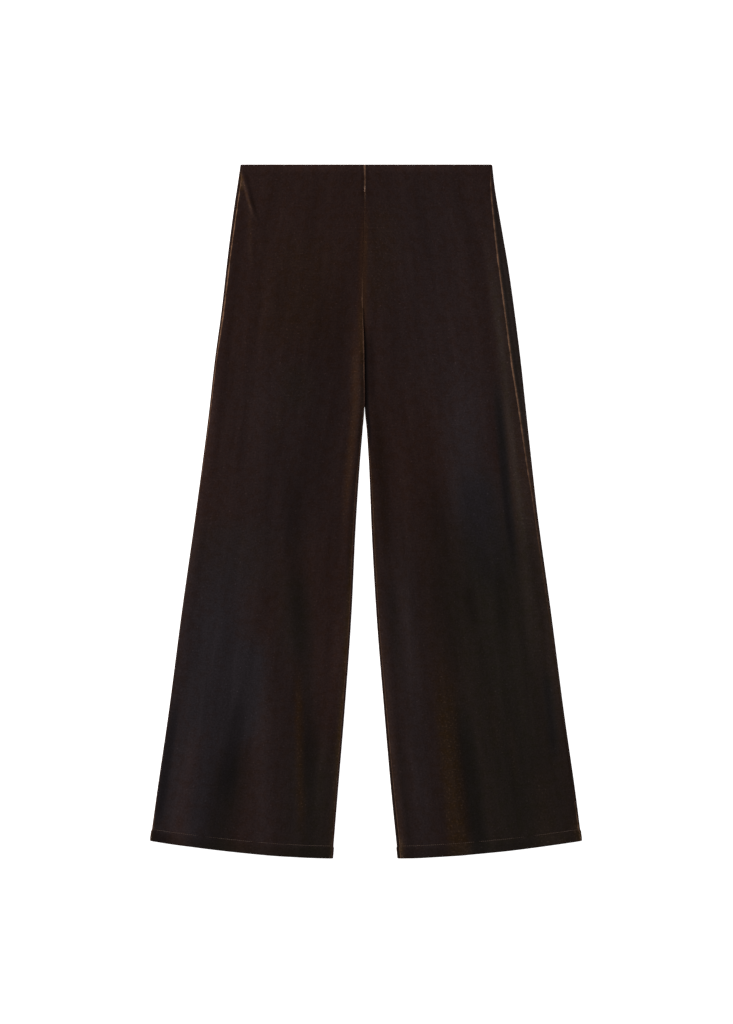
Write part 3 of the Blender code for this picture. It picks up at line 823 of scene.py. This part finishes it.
velvet = {
    "pile": "#211411",
    # lilac, moss and amber are shifts of the changeable pile's colour; lilac and amber are partly painted
    # sheen and copper glints
    "lilac": "#1e1b1e",
    "moss": "#1d1a15",
    "amber": "#251808",
    # the parted pile's ground, painted pale as a copper highlight along the seams
    "groundAndSheen": "#8a6953",
    "sheen": "#c9855f",
    "napShadeContrast": 1.3,  # contrast of the light strokes, brushed pile and painted shade alike
    "grain": (2.6, 0.27),  # mm and contrast; real tufts are 0.3 mm apart, drawn coarser so that they show
    "mottle": (12.0, 0.07),
    "streak": (7.0, 0.07),
    "streakStretch": (1, 0.09, 1),
    "cloud": (60.0, 0.16),
    "cloudStretch": (2.4, 0.3, 1),
    "fleck": (3.0, 2.0),  # mm and brightness of the few tufts that catch the light
    "fleckFrom": (0.68, 0.56),  # where their noise starts to show, on plain and on amber pile
    "fleckEdge": 0.1,
    "turns": {"amber": (0.5, 0.75), "moss": (0.5, 0.25), "lilac": (0.42, 0.5)},  # of the mottle's noise
    "turnShare": 0.24,  # how far tufts turn to those colours
    "partingRange": (0.55, 1.25),  # how unevenly the pile parts at a seam
    "seamReach": 2.0,
    "leastReach": 0.2,
    "backGlow": 0.45,  # the back's seams show less of the parting and of its painted highlight
}
noiseRange = {"From Min": 0.3, "From Max": 0.7}  # nearly all values of a noise lie between these


def makeVelvet():
    # Polyester stretch velvet, cut pile on a knitted ground: nearly black brown when one looks down
    # into the pile, with a copper sheen where it turns away, and a painted copper highlight at the parted
    # pile along seams
    material, tree = newMaterial("stretch_velvet")
    cloth = addNode(tree, "ShaderNodeUVMap", {}, uv_map="cloth").outputs["UV"]
    marks = {name: addNode(tree, "ShaderNodeAttribute", {}, attribute_name=name).outputs["Fac"]
             for name in ("light", "lilac", "moss", "amber", "seam", "glow")}

    streaked = addNode(tree, "ShaderNodeMapping", {"Vector": cloth, "Scale": velvet["streakStretch"]})
    clouded = addNode(tree, "ShaderNodeMapping", {"Vector": cloth, "Scale": velvet["cloudStretch"]})
    noises = {}
    for name, places, detail, roughness in (
            ("grain", cloth, 2.0, 0.65), ("mottle", cloth, 3.0, 0.6), ("fleck", cloth, 1.0, 0.5),
            ("streak", streaked.outputs["Vector"], 3.0, 0.5),
            ("cloud", clouded.outputs["Vector"], 2.0, 0.5)):
        noises[name] = addNode(tree, "ShaderNodeTexNoise", {
            "Vector": places, "Scale": 1000 / velvet[name][0], "Detail": detail,
            "Roughness": roughness}).outputs["Fac"]

    # tone: brushed strokes with painted fold shade, sheen and shadows, streaks down the grain, the speckle
    # of the tufts, and pale flecks painted as glints where tufts catch the light
    tones = {}
    for name, middle in (("cloud", 0), ("streak", 1), ("grain", 1), ("mottle", 1)):
        contrast = velvet[name][1]
        tones[name] = addNode(tree, "ShaderNodeMapRange", {
            "Value": noises[name], **noiseRange, "To Min": middle - contrast, "To Max": middle + contrast})
    fleckStart = addNode(tree, "ShaderNodeMapRange", {
        "Value": marks["amber"], "To Min": velvet["fleckFrom"][0], "To Max": velvet["fleckFrom"][1]})
    fleckEnd = addNode(tree, "ShaderNodeMath", {
        0: fleckStart.outputs["Result"], 1: velvet["fleckEdge"]}, operation="ADD")
    tones["fleck"] = addNode(tree, "ShaderNodeMapRange", {
        "Value": noises["fleck"], "From Min": fleckStart.outputs["Result"],
        "From Max": fleckEnd.outputs["Value"], "To Min": 1.0, "To Max": velvet["fleck"][1]})
    doublings = addNode(tree, "ShaderNodeMath", {
        0: marks["light"], 1: velvet["napShadeContrast"], 2: tones["cloud"].outputs["Result"]},
        operation="MULTIPLY_ADD")
    tone = addNode(tree, "ShaderNodeMath", {0: 2.0, 1: doublings.outputs["Value"]}, operation="POWER")
    for name in ("streak", "grain", "mottle", "fleck"):
        tone = addNode(tree, "ShaderNodeMath", {
            0: tone.outputs["Value"], 1: tones[name].outputs["Result"]}, operation="MULTIPLY")

    # the pile's colour turns a little from tuft to tuft, and over whole parts of the cloth, where lilac and
    # amber also paint its sheen and copper glints
    colour = linear(velvet["pile"])
    for name, (start, end) in velvet["turns"].items():
        turned = addNode(tree, "ShaderNodeMapRange", {
            "Value": noises["mottle"], "From Min": start, "From Max": end,
            "To Min": 0.0, "To Max": velvet["turnShare"]})
        share = addNode(tree, "ShaderNodeMath", {
            0: marks[name], 1: turned.outputs["Result"]}, operation="ADD", use_clamp=True)
        mixed = addNode(tree, "ShaderNodeMix", {
            "Factor": share.outputs["Value"], 6: colour, 7: linear(velvet[name])}, data_type="RGBA")
        colour = mixed.outputs[2]
    pile = addNode(tree, "ShaderNodeMix", {
        "Factor": 1.0, 6: colour, 7: tone.outputs["Value"]}, data_type="RGBA", blend_type="MULTIPLY")

    # at a seam the pile parts over a millimetre or two, unevenly, and its copper ground shows, painted pale
    # as a highlight for the sheen caught there
    least, most = velvet["partingRange"]
    uneven = addNode(tree, "ShaderNodeMapRange", {
        "Value": noises["mottle"], **noiseRange, "To Min": least, "To Max": most})
    parting = addNode(tree, "ShaderNodeMath", {
        0: uneven.outputs["Result"], 1: marks["glow"]}, operation="MULTIPLY")
    reach = addNode(tree, "ShaderNodeMath", {
        0: parting.outputs["Value"], 1: velvet["seamReach"], 2: velvet["leastReach"]},
        operation="MULTIPLY_ADD")
    nearness = addNode(tree, "ShaderNodeMapRange", {
        "Value": marks["seam"], "From Min": 0.0, "From Max": reach.outputs["Value"],
        "To Min": 1.0, "To Max": 0.0}, interpolation_type="SMOOTHSTEP")
    shown = addNode(tree, "ShaderNodeMath", {
        0: nearness.outputs["Result"], 1: parting.outputs["Value"]}, operation="MULTIPLY", use_clamp=True)
    colour = addNode(tree, "ShaderNodeMix", {
        "Factor": shown.outputs["Value"], 6: pile.outputs[2], 7: linear(velvet["groundAndSheen"])},
        data_type="RGBA")

    bump = addNode(tree, "ShaderNodeBump", {
        "Height": noises["grain"], "Strength": 0.5, "Distance": 0.4 * mm})
    shader = addNode(tree, "ShaderNodeBsdfPrincipled", {
        "Base Color": colour.outputs[2], "Roughness": 0.8, "Specular IOR Level": 0.03,
        "Sheen Weight": 0.35, "Sheen Roughness": 0.4, "Sheen Tint": linear(velvet["sheen"]),
        "Normal": bump.outputs["Normal"]})
    addNode(tree, "ShaderNodeOutputMaterial", {"Surface": shader.outputs["BSDF"]})
    return material


knit = {
    "face": "#2a1d18",
    # groove: painted shade between the wales
    "groove": "#1d1411",
    "wale": 0.9,  # mm between wales, drawn a little coarse
}


def makeKnit():
    # The velvet's wrong side, a fine polyester and elastane knit: matt, with its wales just visible
    material, tree = newMaterial("knitted_ground")
    cloth = addNode(tree, "ShaderNodeUVMap", {}, uv_map="cloth").outputs["UV"]
    wales = addNode(tree, "ShaderNodeTexWave", {
        "Vector": cloth, "Scale": 1000 / (pi * knit["wale"]), "Distortion": 0.6, "Detail": 1.0},
        wave_type="BANDS", bands_direction="X")
    # painted shade in the grooves between the wales
    shade = addNode(tree, "ShaderNodeMix", {
        "Factor": wales.outputs["Fac"], 6: linear(knit["groove"]), 7: linear(knit["face"])},
        data_type="RGBA")
    bump = addNode(tree, "ShaderNodeBump", {
        "Height": wales.outputs["Fac"], "Strength": 0.4, "Distance": 0.2 * mm})
    shader = addNode(tree, "ShaderNodeBsdfPrincipled", {
        "Base Color": shade.outputs[2], "Roughness": 0.85, "Specular IOR Level": 0.2,
        "Normal": bump.outputs["Normal"]})
    addNode(tree, "ShaderNodeOutputMaterial", {"Surface": shader.outputs["BSDF"]})
    return material


thread = {
    "ply": 2 / 3,  # mm; a real ply is 0.15 mm thick, and is drawn coarser so that it shows
    "hem": ("#30231b", "#5a4434"),  # painted shade in its grooves, and painted highlight where it bulges
    "tack": ("#7d5a47", "#a58672"),
}


def makeThread(name, dark, light):
    # Spun polyester sewing thread, two plies: satin, copper brown, a touch paler where it bulges, with
    # painted shade and highlight between the plies
    material, tree = newMaterial(name)
    places = addNode(tree, "ShaderNodeTexCoord", {}).outputs["Object"]
    plies = addNode(tree, "ShaderNodeTexNoise", {
        "Vector": places, "Scale": 1000 / thread["ply"], "Detail": 2.0})
    colour = addNode(tree, "ShaderNodeMix", {
        "Factor": plies.outputs["Fac"], 6: linear(dark), 7: linear(light)}, data_type="RGBA")
    shader = addNode(tree, "ShaderNodeBsdfPrincipled", {
        "Base Color": colour.outputs[2], "Roughness": 0.5, "Specular IOR Level": 0.4,
        "Sheen Weight": 0.2})
    addNode(tree, "ShaderNodeOutputMaterial", {"Surface": shader.outputs["BSDF"]})
    return material


print("finishes")
velvetMaterial, knitMaterial = makeVelvet(), makeKnit()
hemThread = makeThread("hem_thread", *thread["hem"])
tackThread = makeThread("tack_thread", *thread["tack"])

print("laying the panels")
panels = {}
for leg in (rightLeg, leftLeg):
    for layer, columnsOf in (("back", backColumns), ("front", frontColumns)):
        node = layer + "_" + leg["name"]
        panel = layPanel("velvet_" + node, leg, columnsOf)
        panel["object"].data.materials.append(velvetMaterial)
        panel["object"].data.materials.append(knitMaterial)
        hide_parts(node)
        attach(panel["object"], "root")
        panels[node] = panel
        print("  ", node, len(panel["object"].data.polygons), "faces before its wall")

print("sewing")
hems = {node: sewHem("hem_" + node, panel, hemThread) for node, panel in panels.items()}
barTack = sewTack("centre_tack", (panels["front_right"], panels["front_left"]), tackThread)
inside = {"front_left": [barTack], "back_left": [], "front_right": [], "back_right": []}
start, end = allowance["clear"], cut["length"] - allowance["clear"]
for layer, side in (("front", 1), ("back", -1)):
    name = "allowance_centre_" + layer
    strip = layAllowance(name, leftLeg, start, allowance["centreEnd"], faceLength, side, knitMaterial)
    inside[layer + "_left"].append(strip)
for leg in (rightLeg, leftLeg):
    for seam, top, seamAt in (("side", start, sideSeam), ("inseam", allowance["inseamStart"], innerSeam)):
        name = "allowance_" + seam + "_" + leg["name"]
        inside["front_" + leg["name"]].append(layAllowance(name, leg, top, end, seamAt, 1, knitMaterial))

studio = {
    "floorSize": 24.0,
    "floorDrop": 0.1,  # mm
    "floorGlow": 1.35,
    "paper": "#dcdcdc",
    "worldLight": 0.62,
    "exposure": -0.5,
    "frameHeight": 1.536,  # metres of floor that the picture's height takes in
    "frameCentre": (0.00075, -0.0007),
    "cameraHeight": 6.0,
    "sensor": 36.0,
}


def layFloor():
    grid = bmesh.new()
    bmesh.ops.create_grid(grid, x_segments=1, y_segments=1, size=studio["floorSize"] / 2)
    bmesh.ops.translate(grid, verts=grid.verts, vec=(0, 0, -studio["floorDrop"] * mm))
    mesh = bpy.data.meshes.new("floor")
    grid.to_mesh(mesh)
    grid.free()
    floor = bpy.data.objects.new("floor", mesh)
    scene.collection.objects.link(floor)
    # White studio paper, lit evenly enough that it shows no shadow
    material, tree = newMaterial("studio_paper")
    shader = addNode(tree, "ShaderNodeBsdfPrincipled", {
        "Base Color": linear(studio["paper"]), "Roughness": 1.0, "Specular IOR Level": 0.0,
        "Emission Color": linear("#ffffff"), "Emission Strength": studio["floorGlow"]})
    addNode(tree, "ShaderNodeOutputMaterial", {"Surface": shader.outputs["BSDF"]})
    mesh.materials.append(material)


lamps = {  # place, size, watts and tint of each soft box, all aimed at the middle of the pants
    "key": ((-2.0, 1.0, 2.2), 1.4, 110, "#fff6ee"),
    "fill": ((2.2, -0.6, 2.4), 2.0, 25, "#eef3ff"),
}


def lightStudio():
    for name, (where, size, watts, tint) in lamps.items():
        data = bpy.data.lights.new(name, "AREA")
        data.shape, data.size, data.energy = "SQUARE", size, watts
        data.color = linear(tint)[:3]
        lamp = bpy.data.objects.new(name, data)
        lamp.location = where
        lamp.rotation_euler = (-Vector(where)).to_track_quat("-Z", "Y").to_euler()
        scene.collection.objects.link(lamp)
    world = bpy.data.worlds.new("studio")
    world.use_nodes = True
    background = world.node_tree.nodes["Background"]
    background.inputs["Color"].default_value = linear("#ffffff")
    background.inputs["Strength"].default_value = studio["worldLight"]
    scene.world = world


def setCamera():
    data = bpy.data.cameras.new("camera")
    data.sensor_width = studio["sensor"]
    data.lens = studio["sensor"] * studio["cameraHeight"] / studio["frameHeight"]
    data.clip_start, data.clip_end = 0.1, 100
    camera = bpy.data.objects.new("camera", data)
    camera.location = (*studio["frameCentre"], studio["cameraHeight"])
    scene.collection.objects.link(camera)
    scene.camera = camera


print("studio")
layFloor()
lightStudio()
setCamera()
scene.view_settings.view_transform = "Standard"
scene.view_settings.exposure = studio["exposure"]
